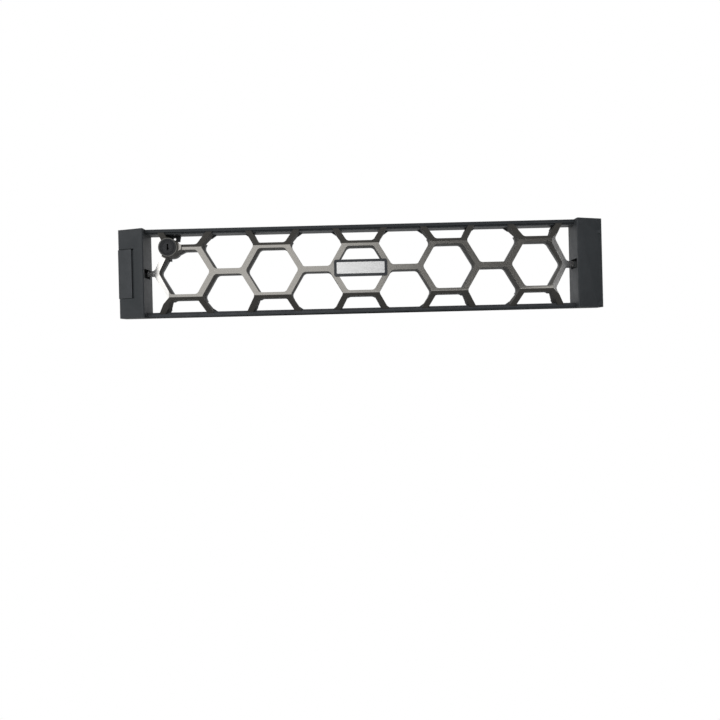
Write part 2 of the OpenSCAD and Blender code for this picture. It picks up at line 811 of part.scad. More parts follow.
// A compression spring along X from x0 to x1, swept as one tube round a helix
module coil_spring(x0, x1, y, z) {
    sides = 6;
    per_turn = 12;
    rings = spring_turns * per_turn;
    wire_r = spring_wire / 2;
    climb = (x1 - x0 - spring_wire) / rings;
    pitch_angle = atan2(climb * per_turn, 2 * PI * spring_r);
    points = [for (i = [0:rings], k = [0:sides - 1]) let (
        turn = i * 360 / per_turn,
        around = k * 360 / sides,
        out = spring_r + wire_r * cos(around),
        lift = wire_r * sin(around))
        [x0 + wire_r + i * climb + lift * cos(pitch_angle),
         y + out * cos(turn) + lift * sin(pitch_angle) * sin(turn),
         z + out * sin(turn) - lift * sin(pitch_angle) * cos(turn)]];
    walls = [for (i = [0:rings - 1], k = [0:sides - 1]) let (
        a = i * sides + k,
        b = i * sides + (k + 1) % sides)
        each [[a, b, b + sides], [a, b + sides, a + sides]]];
    first = [for (k = [sides - 1:-1:0]) k];
    last = [for (k = [0:sides - 1]) rings * sides + k];
    polyhedron(points, concat(walls, [first, last]), convexity = 8);
}

module release_springs() {
    color([0.70, 0.70, 0.72])
    for (side = [-1, 1]) {
        coil_spring(strip_x + strip_w + 0.1, -cap_x - wall - 0.1, spring_y, mid_z + side * spring_up);
    }
}

// ---------------------------------------------------------------- small parts

module hook_tabs() {
    tip = half_w + tab_out;
    color([0.45, 0.46, 0.47])
    for (z = tab_heights) {
        difference() {
            along_z(z - tab_h / 2, z + tab_h / 2) polygon([
                [half_w - tab_in, cover_y - tab_t], [tip - 0.8, cover_y - tab_t], [tip, cover_y - tab_t + 0.8],
                [tip, cover_y], [half_w - tab_in, cover_y]]);
            rod_y(half_w - tab_in + 3, z, 1, cover_y - tab_t - over, cover_y + over);
        }
    }
}

module rear_label() {
    color([0.93, 0.92, 0.90])
    block(-half_w + 7.5, -half_w + 22, rail_rear, rail_rear + 0.12, mid_z - label_h / 2, mid_z + label_h / 2);
}

module rail_clip() {
    color([0.82, 0.83, 0.84])
    along_x(lock_x - 2.9, lock_x + 6.5) polygon([
        [2.2, body_h - 4.1], [rail_rear - 0.3, body_h - 4.1], [rail_rear - 0.3, body_h - 2.7],
        [rail_rear - 1.1, body_h - 2.7], [rail_rear - 1.1, body_h - 3.4], [2.2, body_h - 3.4]]);
}

outer_frame();
front_grille();
rear_frame();
left_rear_cover();
right_rear_cover();
left_cover_screws();
right_cover_screws();
frame_screws();
badge_carrier();
badge_plate();
badge_inlay();
badge_screws();
lock_housing();
lock_ring_nut();
lock_plug();
lock_cam();
cam_screw();
release_button();
latch_plate();
lock_link();
link_rivet();
release_springs();
hook_tabs();
rear_label();
rail_clip();
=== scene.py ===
"""Looks of a two-unit rack server front bezel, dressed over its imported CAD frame."""
import logging
import math
from dataclasses import dataclass, field
from enum import Enum
from itertools import product
from typing import Callable, Sequence

import bmesh
import bpy
from mathutils import Matrix, Vector


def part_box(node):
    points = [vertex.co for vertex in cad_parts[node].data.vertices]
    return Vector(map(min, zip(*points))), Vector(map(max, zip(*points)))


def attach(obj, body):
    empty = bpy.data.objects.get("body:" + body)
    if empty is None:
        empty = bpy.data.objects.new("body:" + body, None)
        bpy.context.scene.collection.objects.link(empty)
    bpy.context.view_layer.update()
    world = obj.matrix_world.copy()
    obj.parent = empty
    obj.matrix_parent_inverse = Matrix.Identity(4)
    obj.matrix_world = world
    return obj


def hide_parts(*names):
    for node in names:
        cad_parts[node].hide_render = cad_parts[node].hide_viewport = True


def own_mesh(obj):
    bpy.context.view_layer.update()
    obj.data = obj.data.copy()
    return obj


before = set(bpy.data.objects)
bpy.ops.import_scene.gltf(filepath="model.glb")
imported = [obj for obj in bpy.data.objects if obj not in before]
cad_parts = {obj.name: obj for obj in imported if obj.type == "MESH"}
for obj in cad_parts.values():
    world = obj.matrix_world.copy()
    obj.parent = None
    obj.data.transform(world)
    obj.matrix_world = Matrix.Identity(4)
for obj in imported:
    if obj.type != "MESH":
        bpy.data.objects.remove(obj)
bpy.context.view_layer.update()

LOG = logging.getLogger("bezel")
MM = 0.001
# Corners closer than this are one corner.
WELD = 0.002 * MM
# Faces that meet at less than this angle are one flat face.
FLAT = math.radians(0.6)
# Edges whose faces meet at more than this angle are rounded.
SHARP = math.radians(28)
Point = tuple[float, float, float]
Colour = tuple[float, float, float]


# ---------------------------------------------------------------- measures of the frame


@dataclass(frozen=True)
class Measures:
    """Places read from the CAD nodes, in metres."""

    low: Vector
    high: Vector
    lock_x: float
    lock_z: float
    lock_front: float

    @classmethod
    def from_frame(cls) -> "Measures":
        """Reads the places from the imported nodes.

        Returns:
            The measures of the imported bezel.
        """
        low, high = (Vector(p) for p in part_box("outer_frame"))
        plug_low, plug_high = (Vector(p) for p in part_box("lock_plug"))
        middle = (plug_low + plug_high) / 2
        return cls(low, high, middle.x, middle.z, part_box("lock_housing")[0][1])

    @property
    def mid_z(self) -> float:
        """Height of the middle of the bezel."""
        return (self.low.z + self.high.z) / 2

    @property
    def pitch(self) -> float:
        """Width of a cell of the honeycomb: the lock stands two cells and a sixth from the middle."""
        return -self.lock_x / (2 + 1 / 6)

    @property
    def fold(self) -> float:
        """Height of the lock's fold of the honeycomb above the middle of the bezel."""
        return self.lock_z - self.mid_z

    @property
    def lean(self) -> float:
        """Lean of the slanting struts, in radians."""
        return math.atan2(self.fold, self.pitch / 6)


PLACES = Measures.from_frame()


# ---------------------------------------------------------------- node groups


class GroupKit:
    """Shader node groups that several finishes share, each built once."""

    _built: dict[str, bpy.types.NodeTree] = {}
    _surface_outputs = (("Color", "NodeSocketColor"), ("Height", "NodeSocketFloat"),
                        ("Roughness", "NodeSocketFloat"))

    @classmethod
    def get(cls, name: str, build: Callable[[bpy.types.NodeTree], None]) -> bpy.types.NodeTree:
        """Returns the group of that name, building it the first time.

        Args:
            name: Name of the node group.
            build: Function that fills an empty group.

        Returns:
            The finished node group.
        """
        if name not in cls._built:
            tree = bpy.data.node_groups.new(name, "ShaderNodeTree")
            build(tree)
            cls._built[name] = tree
        return cls._built[name]

    @staticmethod
    def _sockets(tree: bpy.types.NodeTree, inputs: Sequence[tuple[str, str, object]],
                 outputs: Sequence[tuple[str, str]]) -> tuple[bpy.types.Node, bpy.types.Node]:
        """Adds named sockets and the two end nodes of a group.

        Args:
            tree: The empty node group.
            inputs: Name, kind and default of each input.
            outputs: Name and kind of each output.

        Returns:
            The group's input and output nodes.
        """
        for name, kind, default in inputs:
            socket = tree.interface.new_socket(name=name, in_out="INPUT", socket_type=kind)
            socket.default_value = default
        for name, kind in outputs:
            tree.interface.new_socket(name=name, in_out="OUTPUT", socket_type=kind)
        return tree.nodes.new("NodeGroupInput"), tree.nodes.new("NodeGroupOutput")

    @classmethod
    def moulded_grain(cls) -> bpy.types.NodeTree:
        """Spark-eroded mould texture: a fine height, a soft mottling and a colour that follows them."""

        def build(tree: bpy.types.NodeTree) -> None:
            """Fills the group."""
            start, end = cls._sockets(
                tree,
                [("Color", "NodeSocketColor", (0.5, 0.5, 0.5, 1)),
                 ("Scale", "NodeSocketFloat", 2600.0),
                 ("Mottle", "NodeSocketFloat", 0.12)],
                cls._surface_outputs)
            place = tree.nodes.new("ShaderNodeTexCoord")
            grain = tree.nodes.new("ShaderNodeTexNoise")
            grain.inputs["Detail"].default_value = 3
            grain.inputs["Roughness"].default_value = 0.6
            cloud = tree.nodes.new("ShaderNodeTexNoise")
            cloud.inputs["Scale"].default_value = 45
            cloud.inputs["Detail"].default_value = 4
            shade = tree.nodes.new("ShaderNodeMapRange")
            shade.inputs["From Min"].default_value = 0.3
            shade.inputs["From Max"].default_value = 0.7
            low = tree.nodes.new("ShaderNodeMath")
            low.operation = "SUBTRACT"
            low.inputs[0].default_value = 1
            mix = tree.nodes.new("ShaderNodeMix")
            mix.data_type = "RGBA"
            mix.blend_type = "MULTIPLY"
            mix.inputs["Factor"].default_value = 1
            rough = tree.nodes.new("ShaderNodeMapRange")
            rough.inputs["To Min"].default_value = 0.44
            rough.inputs["To Max"].default_value = 0.66
            link = tree.links.new
            link(place.outputs["Object"], grain.inputs["Vector"])
            link(start.outputs["Scale"], grain.inputs["Scale"])
            link(place.outputs["Object"], cloud.inputs["Vector"])
            link(start.outputs["Mottle"], low.inputs[1])
            link(cloud.outputs["Fac"], shade.inputs["Value"])
            link(low.outputs[0], shade.inputs["To Min"])
            link(start.outputs["Color"], mix.inputs["A"])
            link(shade.outputs["Result"], mix.inputs["B"])
            link(cloud.outputs["Fac"], rough.inputs["Value"])
            link(mix.outputs["Result"], end.inputs["Color"])
            link(grain.outputs["Fac"], end.inputs["Height"])
            link(rough.outputs["Result"], end.inputs["Roughness"])

        return cls.get("moulded_grain", build)

    @classmethod
    def edge_wear(cls) -> bpy.types.NodeTree:
        """Mask of slightly rubbed edges, broken up by noise."""

        def build(tree: bpy.types.NodeTree) -> None:
            """Fills the group."""
            start, end = cls._sockets(
                tree, [("Amount", "NodeSocketFloat", 0.5)], [("Mask", "NodeSocketFloat")])
            shape = tree.nodes.new("ShaderNodeNewGeometry")
            edge = tree.nodes.new("ShaderNodeMapRange")
            edge.inputs["From Min"].default_value = 0.53
            edge.inputs["From Max"].default_value = 0.62
            place = tree.nodes.new("ShaderNodeTexCoord")
            patch = tree.nodes.new("ShaderNodeTexNoise")
            patch.inputs["Scale"].default_value = 160
            patch.inputs["Detail"].default_value = 5
            broken = tree.nodes.new("ShaderNodeMath")
            broken.operation = "MULTIPLY"
            scaled = tree.nodes.new("ShaderNodeMath")
            scaled.operation = "MULTIPLY"
            link = tree.links.new
            link(shape.outputs["Pointiness"], edge.inputs["Value"])
            link(place.outputs["Object"], patch.inputs["Vector"])
            link(edge.outputs["Result"], broken.inputs[0])
            link(patch.outputs["Fac"], broken.inputs[1])
            link(broken.outputs[0], scaled.inputs[0])
            link(start.outputs["Amount"], scaled.inputs[1])
            link(scaled.outputs[0], end.inputs["Mask"])

        return cls.get("edge_wear", build)

    @classmethod
    def brushed_lines(cls) -> bpy.types.NodeTree:
        """Fine lines of a brushed or rolled metal surface, along X."""

        def build(tree: bpy.types.NodeTree) -> None:
            """Fills the group."""
            start, end = cls._sockets(
                tree, [("Color", "NodeSocketColor", (0.7, 0.7, 0.7, 1))],
                cls._surface_outputs)
            place = tree.nodes.new("ShaderNodeTexCoord")
            squeeze = tree.nodes.new("ShaderNodeMapping")
            squeeze.inputs["Scale"].default_value = (60, 2400, 2400)
            lines = tree.nodes.new("ShaderNodeTexNoise")
            lines.inputs["Scale"].default_value = 1
            lines.inputs["Detail"].default_value = 4
            tint = tree.nodes.new("ShaderNodeMapRange")
            tint.inputs["To Min"].default_value = 0.78
            tint.inputs["To Max"].default_value = 1.08
            mix = tree.nodes.new("ShaderNodeMix")
            mix.data_type = "RGBA"
            mix.blend_type = "MULTIPLY"
            mix.inputs["Factor"].default_value = 1
            rough = tree.nodes.new("ShaderNodeMapRange")
            rough.inputs["To Min"].default_value = 0.22
            rough.inputs["To Max"].default_value = 0.42
            link = tree.links.new
            link(place.outputs["Object"], squeeze.inputs["Vector"])
            link(squeeze.outputs["Vector"], lines.inputs["Vector"])
            link(lines.outputs["Fac"], tint.inputs["Value"])
            link(lines.outputs["Fac"], rough.inputs["Value"])
            link(start.outputs["Color"], mix.inputs["A"])
            link(tint.outputs["Result"], mix.inputs["B"])
            link(mix.outputs["Result"], end.inputs["Color"])
            link(lines.outputs["Fac"], end.inputs["Height"])
            link(rough.outputs["Result"], end.inputs["Roughness"])

        return cls.get("brushed_lines", build)


# ---------------------------------------------------------------- finishes


def _blank(name: str) -> tuple[bpy.types.Material, bpy.types.Node]:
    """Makes a material with only its Principled shader.

    Args:
        name: Name of the material.

    Returns:
        The material and its shader node.
    """
    material = bpy.data.materials.new(name)
    material.use_nodes = True
    return material, material.node_tree.nodes["Principled BSDF"]


@dataclass(frozen=True)
class MouldedPlastic:
    """Dark moulded plastic with a fine mould grain and faintly rubbed edges."""

    name: str
    colour: Colour
    rubbed: Colour = (0.16, 0.16, 0.17)
    wear: float = 0.35
    grain: float = 2600.0
    bump: float = 0.12
    mottle: float = 0.14
    specular: float = 0.32

    def material(self) -> bpy.types.Material:
        """Builds the material.

        Returns:
            The finished material.
        """
        material, shader = _blank(self.name)
        tree = material.node_tree
        grain = tree.nodes.new("ShaderNodeGroup")
        grain.node_tree = GroupKit.moulded_grain()
        grain.inputs["Color"].default_value = (*self.colour, 1)
        grain.inputs["Scale"].default_value = self.grain
        grain.inputs["Mottle"].default_value = self.mottle
        wear = tree.nodes.new("ShaderNodeGroup")
        wear.node_tree = GroupKit.edge_wear()
        wear.inputs["Amount"].default_value = self.wear
        mix = tree.nodes.new("ShaderNodeMix")
        mix.data_type = "RGBA"
        mix.inputs["B"].default_value = (*self.rubbed, 1)
        bump = tree.nodes.new("ShaderNodeBump")
        bump.inputs["Strength"].default_value = self.bump
        bump.inputs["Distance"].default_value = 0.00008
        shader.inputs["Specular IOR Level"].default_value = self.specular
        link = tree.links.new
        link(grain.outputs["Color"], mix.inputs["A"])
        link(wear.outputs["Mask"], mix.inputs["Factor"])
        link(mix.outputs["Result"], shader.inputs["Base Color"])
        link(grain.outputs["Roughness"], shader.inputs["Roughness"])
        link(grain.outputs["Height"], bump.inputs["Height"])
        link(bump.outputs["Normal"], shader.inputs["Normal"])
        return material


@dataclass(frozen=True)
class MetallicCoat:
    """Metallic lacquer on the grille's flat front, over a dark moulding that shows on slopes and walls, with
    a painted highlight on the end facets and a painted shade patch round the lock.

    Attributes:
        name: Name of the material.
        colour: Colour of the coat on the flat front.
        edge: Near-white colour on the sideways-facing facets at both ends: a painted highlight standing in
            for the key lamp's glare on them.
        wall: Colour of the uncoated moulding, also laid as painted shade on the round patch round the lock.
        shade_patch_centre: Middle of the round patch round the lock that is painted dark as shade.
        shade_patch_radius: Radius of that painted shade patch.
        end_from: How far from the middle of the bezel the end facets begin.
        metallic: Metallic value of the coat.
        roughness: Mean roughness of the coat.
    """

    name: str
    colour: Colour
    edge: Colour
    wall: Colour
    shade_patch_centre: Point
    end_from: float
    shade_patch_radius: float = 10.2 * MM
    metallic: float = 0.92
    roughness: float = 0.27

    @staticmethod
    def _ramp(tree: bpy.types.NodeTree, source: bpy.types.NodeSocket, low: float,
              high: float) -> bpy.types.NodeSocket:
        """Adds a soft step that rises from 0 to 1 between two values.

        Args:
            tree: The node tree.
            source: The value that drives the step.
            low: Where the step begins.
            high: Where it ends.

        Returns:
            The step's socket.
        """
        step = tree.nodes.new("ShaderNodeMapRange")
        step.interpolation_type = "SMOOTHSTEP"
        step.inputs["From Min"].default_value = low
        step.inputs["From Max"].default_value = high
        tree.links.new(source, step.inputs["Value"])
        return step.outputs["Result"]

    @staticmethod
    def _maths(tree: bpy.types.NodeTree, operation: str, first: bpy.types.NodeSocket,
               second: bpy.types.NodeSocket | float | None = None) -> bpy.types.NodeSocket:
        """Adds one arithmetic step.

        Args:
            tree: The node tree.
            operation: Name of the operation.
            first: Its first value.
            second: Its second value, as a socket or a number.

        Returns:
            The result's socket.
        """
        node = tree.nodes.new("ShaderNodeMath")
        node.operation = operation
        tree.links.new(first, node.inputs[0])
        if isinstance(second, bpy.types.NodeSocket):
            tree.links.new(second, node.inputs[1])
        elif second is not None:
            node.inputs[1].default_value = second
        return node.outputs[0]

    @staticmethod
    def _blend(tree: bpy.types.NodeTree, factor: bpy.types.NodeSocket, first: object, second: object,
               kind: str = "MIX") -> bpy.types.NodeSocket:
        """Blends two colours.

        Args:
            tree: The node tree.
            factor: Share of the second colour.
            first: First colour, as a socket or a plain colour.
            second: Second colour, as a socket or a plain colour.
            kind: The blend type.

        Returns:
            The blended colour's socket.
        """
        mix = tree.nodes.new("ShaderNodeMix")
        mix.data_type = "RGBA"
        mix.blend_type = kind
        tree.links.new(factor, mix.inputs["Factor"])
        for name, value in (("A", first), ("B", second)):
            if isinstance(value, bpy.types.NodeSocket):
                tree.links.new(value, mix.inputs[name])
            else:
                mix.inputs[name].default_value = (*value, 1)
        return mix.outputs["Result"]

    def material(self) -> bpy.types.Material:
        """Builds the material.

        Returns:
            The finished material.
        """
        material, shader = _blank(self.name)
        tree = material.node_tree
        link = tree.links.new
        place = tree.nodes.new("ShaderNodeTexCoord")
        flake = tree.nodes.new("ShaderNodeTexVoronoi")
        flake.inputs["Scale"].default_value = 6000
        cloud = tree.nodes.new("ShaderNodeTexNoise")
        cloud.inputs["Scale"].default_value = 38
        cloud.inputs["Detail"].default_value = 5
        rough = tree.nodes.new("ShaderNodeMapRange")
        rough.inputs["To Min"].default_value = self.roughness - 0.05
        rough.inputs["To Max"].default_value = self.roughness + 0.07
        shape = tree.nodes.new("ShaderNodeNewGeometry")
        facing = tree.nodes.new("ShaderNodeSeparateXYZ")
        link(place.outputs["Object"], flake.inputs["Vector"])
        link(place.outputs["Object"], cloud.inputs["Vector"])
        link(cloud.outputs["Fac"], rough.inputs["Value"])
        link(shape.outputs["True Normal"], facing.inputs["Vector"])
        forward = self._maths(tree, "MULTIPLY", facing.outputs["Y"], -1.0)
        sideways = self._maths(tree, "ABSOLUTE", facing.outputs["X"])
        upright = self._maths(tree, "ABSOLUTE", facing.outputs["Z"])
        slope = self._ramp(tree, upright, 0.12, 0.34)
        level = self._maths(tree, "MULTIPLY_ADD", slope, -1.0)
        level.node.inputs[2].default_value = 1
        flat = tree.nodes.new("ShaderNodeMapping")
        flat.inputs["Scale"].default_value = (1, 0, 1)
        # Painted shade: within shade_patch_radius of the lock the coat gives way to the dark wall colour,
        # standing in for the shade on the boss.
        reach = tree.nodes.new("ShaderNodeVectorMath")
        reach.operation = "DISTANCE"
        reach.inputs[1].default_value = (self.shade_patch_centre[0], 0, self.shade_patch_centre[2])
        link(place.outputs["Object"], flat.inputs["Vector"])
        link(flat.outputs["Vector"], reach.inputs[0])
        off_shade_patch = self._ramp(tree, reach.outputs["Value"], self.shade_patch_radius, self.shade_patch_radius + 1.6 * MM)
        across = tree.nodes.new("ShaderNodeSeparateXYZ")
        link(place.outputs["Object"], across.inputs["Vector"])
        aside = self._maths(tree, "ABSOLUTE", across.outputs["X"])
        outer = self._ramp(tree, aside, self.end_from, self.end_from + MM)
        on_end = self._maths(tree, "MULTIPLY", self._ramp(tree, forward, 0.8, 0.9), outer)
        coated = self._maths(tree, "MAXIMUM", self._ramp(tree, forward, 0.94, 0.98), on_end)
        coated = self._maths(tree, "MULTIPLY", self._maths(tree, "MULTIPLY", coated, level), off_shade_patch)
        # Painted highlight: sideways-facing facets beyond end_from take the near-white edge colour in place
        # of the key lamp's glare.
        end = self._maths(tree, "MULTIPLY", self._ramp(tree, sideways, 0.2, 0.36), outer)
        speckle = self._blend(tree, self._ramp(tree, flake.outputs["Distance"], 0.0, 1.0), self.colour,
                              tuple(c * 0.9 for c in self.colour))
        front = self._blend(tree, end, speckle, self.edge)
        base = self._blend(tree, coated, self.wall, front)
        metal = tree.nodes.new("ShaderNodeMapRange")
        metal.inputs["To Min"].default_value = 0.0
        metal.inputs["To Max"].default_value = self.metallic
        bump = tree.nodes.new("ShaderNodeBump")
        bump.inputs["Strength"].default_value = 0.02
        bump.inputs["Distance"].default_value = 0.00005
        dull = tree.nodes.new("ShaderNodeMapRange")
        dull.inputs["From Min"].default_value = 1
        dull.inputs["From Max"].default_value = 0
        dull.inputs["To Max"].default_value = 0.32
        link(coated, dull.inputs["Value"])
        duller = self._maths(tree, "ADD", rough.outputs["Result"], dull.outputs["Result"])
        link(base, shader.inputs["Base Color"])
        link(coated, metal.inputs["Value"])
        link(metal.outputs["Result"], shader.inputs["Metallic"])
        link(duller, shader.inputs["Roughness"])
        link(flake.outputs["Distance"], bump.inputs["Height"])
        link(bump.outputs["Normal"], shader.inputs["Normal"])
        shader.inputs["Specular IOR Level"].default_value = 0.08
        return material


@dataclass(frozen=True)
class WorkedMetal:
    """Rolled, turned or plated metal with fine lines."""

    name: str
    colour: Colour
    metallic: float = 1.0
    bump: float = 0.08

    def material(self) -> bpy.types.Material:
        """Builds the material.

        Returns:
            The finished material.
        """
        material, shader = _blank(self.name)
        tree = material.node_tree
        lines = tree.nodes.new("ShaderNodeGroup")
        lines.node_tree = GroupKit.brushed_lines()
        lines.inputs["Color"].default_value = (*self.colour, 1)
        bump = tree.nodes.new("ShaderNodeBump")
        bump.inputs["Strength"].default_value = self.bump
        bump.inputs["Distance"].default_value = 0.00004
        shader.inputs["Metallic"].default_value = self.metallic
        link = tree.links.new
        link(lines.outputs["Color"], shader.inputs["Base Color"])
        link(lines.outputs["Roughness"], shader.inputs["Roughness"])
        link(lines.outputs["Height"], bump.inputs["Height"])
        link(bump.outputs["Normal"], shader.inputs["Normal"])
        return material


@dataclass(frozen=True)
class LabelFilm:
    """Blank white film with a soft fibre and a faint yellowing."""

    name: str = "label_film"
    colour: Colour = (0.88, 0.86, 0.82)

    def material(self) -> bpy.types.Material:
        """Builds the material.

        Returns:
            The finished material.
        """
        material, shader = _blank(self.name)
        tree = material.node_tree
        grain = tree.nodes.new("ShaderNodeGroup")
        grain.node_tree = GroupKit.moulded_grain()
        grain.inputs["Color"].default_value = (*self.colour, 1)
        grain.inputs["Scale"].default_value = 900
        grain.inputs["Mottle"].default_value = 0.06
        bump = tree.nodes.new("ShaderNodeBump")
        bump.inputs["Strength"].default_value = 0.08
        bump.inputs["Distance"].default_value = 0.00005
        link = tree.links.new
        link(grain.outputs["Color"], shader.inputs["Base Color"])
        link(grain.outputs["Roughness"], shader.inputs["Roughness"])
        link(grain.outputs["Height"], bump.inputs["Height"])
        link(bump.outputs["Normal"], shader.inputs["Normal"])
        return material


class Finish(Enum):
    """The finishes of the bezel."""

    FRAME = MouldedPlastic("frame_plastic", (0.022, 0.025, 0.027), specular=0.28)
    BACKING = MouldedPlastic("backing_plastic", (0.060, 0.063, 0.062), grain=2200)
    COVER = MouldedPlastic("cover_plastic", (0.062, 0.065, 0.065), grain=1900, bump=0.16)
    BUTTON = MouldedPlastic("button_plastic", (0.024, 0.027, 0.029), grain=2900, specular=0.28)
    CARRIER = MouldedPlastic("carrier_plastic", (0.030, 0.032, 0.034))
    BADGE = MouldedPlastic("badge_plastic", (0.022, 0.024, 0.027), grain=3200, bump=0.05, specular=0.5)
    # The near-white second colour is a painted highlight on the end facets of the grille.
    GRILLE = MetallicCoat("grille_coat", (0.42, 0.405, 0.375), (0.92, 0.91, 0.89), (0.040, 0.038, 0.034),
                          # Painted shade: the round patch round the lock takes the dark wall colour.
                          shade_patch_centre=(PLACES.lock_x, 0, PLACES.lock_z), end_from=-PLACES.lock_x - 0.45 * MM)
    INLAY = WorkedMetal("badge_metal", (0.86, 0.86, 0.85), metallic=0.7)
    BRIGHT = WorkedMetal("bright_zinc", (0.60, 0.61, 0.62))
    SPRING = WorkedMetal("spring_wire", (0.50, 0.50, 0.51))
    NUT = WorkedMetal("dull_zinc", (0.13, 0.13, 0.135), metallic=0.9)
    RIM = WorkedMetal("satin_rim", (0.16, 0.16, 0.15), metallic=0.9)
    DARK_STEEL = WorkedMetal("black_oxide", (0.060, 0.060, 0.064), metallic=0.9)
    LOCK_BLACK = WorkedMetal("black_chrome", (0.022, 0.023, 0.025), metallic=0.5)
    STRUT_BACK = MouldedPlastic("strut_back_plastic", (0.085, 0.092, 0.105), grain=2300)
    # Near-black finish laid as painted shade in the screw recesses and the cam screw's slot.
    RECESS = MouldedPlastic("recess_shadow", (0.010, 0.010, 0.011), wear=0.0)
    TAB_STEEL = WorkedMetal("phosphate_steel", (0.20, 0.20, 0.21))
    LABEL = LabelFilm()

    def material(self) -> bpy.types.Material:
        """Gives this finish's material, built once.

        Returns:
            The material.
        """
        found = bpy.data.materials.get(self.value.name)
        return found or self.value.material()


# ---------------------------------------------------------------- modelling helpers


def paint(piece: bpy.types.Object, finish: Finish) -> None:
    """Gives every material slot of a piece one finish.

    Args:
        piece: The piece.
        finish: Its finish.
    """
    material = finish.material()
    if not piece.data.materials:
        piece.data.materials.append(material)
    for index in range(len(piece.material_slots)):
        piece.material_slots[index].material = material


def finish_mesh(shape: bmesh.types.BMesh, name: str, smooth_deg: float = 35,
                rounding: frozenset[bmesh.types.BMFace] = frozenset()) -> bpy.types.Object:
    """Turns a bmesh into a linked object with smooth shading split at sharp edges.

    Args:
        shape: The finished bmesh, in metres and in place.
        name: Name of the new piece.
        smooth_deg: Faces that meet at less than this angle are shaded as one.
        rounding: Faces of rounded edges, whose shading ends where the flat faces begin.

    Returns:
        The new object.
    """
    limit = math.radians(smooth_deg)
    for face in shape.faces:
        face.smooth = True
    for edge in shape.edges:
        alike = len({face in rounding for face in edge.link_faces}) == 1
        edge.smooth = alike and len(edge.link_faces) == 2 and edge.calc_face_angle(0) < limit
    mesh = bpy.data.meshes.new(name)
    shape.to_mesh(mesh)
    shape.free()
    piece = bpy.data.objects.new(name, mesh)
    bpy.context.scene.collection.objects.link(piece)
    return piece


def round_edges(shape: bmesh.types.BMesh, edges: Sequence[bmesh.types.BMEdge],
                width: float) -> list[bmesh.types.BMFace]:
    """Rounds edges in two steps.

    Args:
        shape: The bmesh.
        edges: The edges to round.
        width: Width of the rounding, in metres.

    Returns:
        The faces of the rounding.
    """
    made = bmesh.ops.bevel(shape, geom=edges, offset=width, offset_type="OFFSET", segments=2, profile=0.5,
                           affect="EDGES", clamp_overlap=True, material=-1)
    return made["faces"]


def bevelled_copy(node: str, name: str, width: float) -> bpy.types.Object:
    """Copies a CAD node with its hard edges rounded.

    Args:
        node: Name of the CAD node.
        name: Name of the new piece.
        width: Width of the rounding, in metres.

    Returns:
        The new piece.
    """
    shape = bmesh.new()
    shape.from_mesh(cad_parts[node].data)
    bmesh.ops.remove_doubles(shape, verts=shape.verts, dist=WELD)
    bmesh.ops.dissolve_limit(shape, angle_limit=FLAT, verts=shape.verts, edges=shape.edges,
                             use_dissolve_boundaries=False)
    sharp = [e for e in shape.edges if len(e.link_faces) == 2 and e.calc_face_angle(0) > SHARP]
    return finish_mesh(shape, name, rounding=frozenset(round_edges(shape, sharp, width)))


def turned(name: str, profile: Sequence[tuple[float, float]], centre: Point, steps: int) -> bpy.types.Object:
    """Turns a profile round an axis along Y.

    Args:
        name: Name of the new piece.
        profile: Radius and Y of each point, from one end of the axis to the other, in millimetres.
        centre: A point on the axis.
        steps: Steps round the axis.

    Returns:
        The new piece.
    """
    shape = bmesh.new()
    verts = [shape.verts.new((centre[0] + r * MM, centre[1] + y * MM, centre[2])) for r, y in profile]
    edges = [shape.edges.new(pair) for pair in zip(verts, verts[1:])]
    bmesh.ops.spin(shape, geom=verts + edges, cent=centre, axis=(0, 1, 0), angle=math.tau, steps=steps,
                   use_merge=True)
    bmesh.ops.remove_doubles(shape, verts=shape.verts, dist=1e-6)
    bmesh.ops.recalc_face_normals(shape, faces=shape.faces)
    return finish_mesh(shape, name, 30)


def stand_for(piece: bpy.types.Object, node: str, body: str, finish: Finish) -> None:
    """Makes a piece replace a CAD node, ride on its body and take a finish.

    Args:
        piece: The new piece.
        node: The CAD node that it stands for.
        body: The CAD body that carries it.
        finish: The finish that it gets.
    """
    paint(piece, finish)
    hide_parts(node)
    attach(piece, body)
    LOG.info("%s stands for %s on %s", piece.name, node, body)


# ---------------------------------------------------------------- sub-assemblies


@dataclass
class FrameMoulding:
    """The outer frame and the two rear covers."""

    edge: float = 0.45 * MM
    cover_edge: float = 0.2 * MM

    def build(self) -> None:
        """Rounds the edges of the mouldings and paints them."""
        outer = bevelled_copy("outer_frame", "frame_moulding", self.edge)
        stand_for(outer, "outer_frame", "bezel", Finish.FRAME)
        for side in ("left", "right"):
            cover = bevelled_copy(f"{side}_rear_cover", f"{side}_cover_plate", self.cover_edge)
            stand_for(cover, f"{side}_rear_cover", "bezel", Finish.COVER)


@dataclass
class Honeycomb:
    """The front grille and the frame staked behind it."""

    edge: float = 0.3 * MM

    def build(self) -> None:
        """Rounds the edges of both honeycombs and paints them."""
        front = bevelled_copy("front_grille", "grille_moulding", self.edge)
        stand_for(front, "front_grille", "bezel", Finish.GRILLE)
        rear = bevelled_copy("rear_frame", "backing_moulding", self.edge)
        stand_for(rear, "rear_frame", "bezel", Finish.BACKING)


@dataclass(frozen=True)
class Trim:
    """One small part whose edges are rounded.

    Attributes:
        node: The CAD node.
        body: The body that carries it.
        finish: Its finish.
        slot: The record's material slot; not used.
        edge: Width of the rounding, in metres.
    """

    node: str
    body: str
    finish: Finish
    slot: str
    edge: float

    def build(self) -> None:
        """Rounds and paints the part."""
        piece = bevelled_copy(self.node, f"{self.node}_trim", self.edge)
        stand_for(piece, self.node, self.body, self.finish)


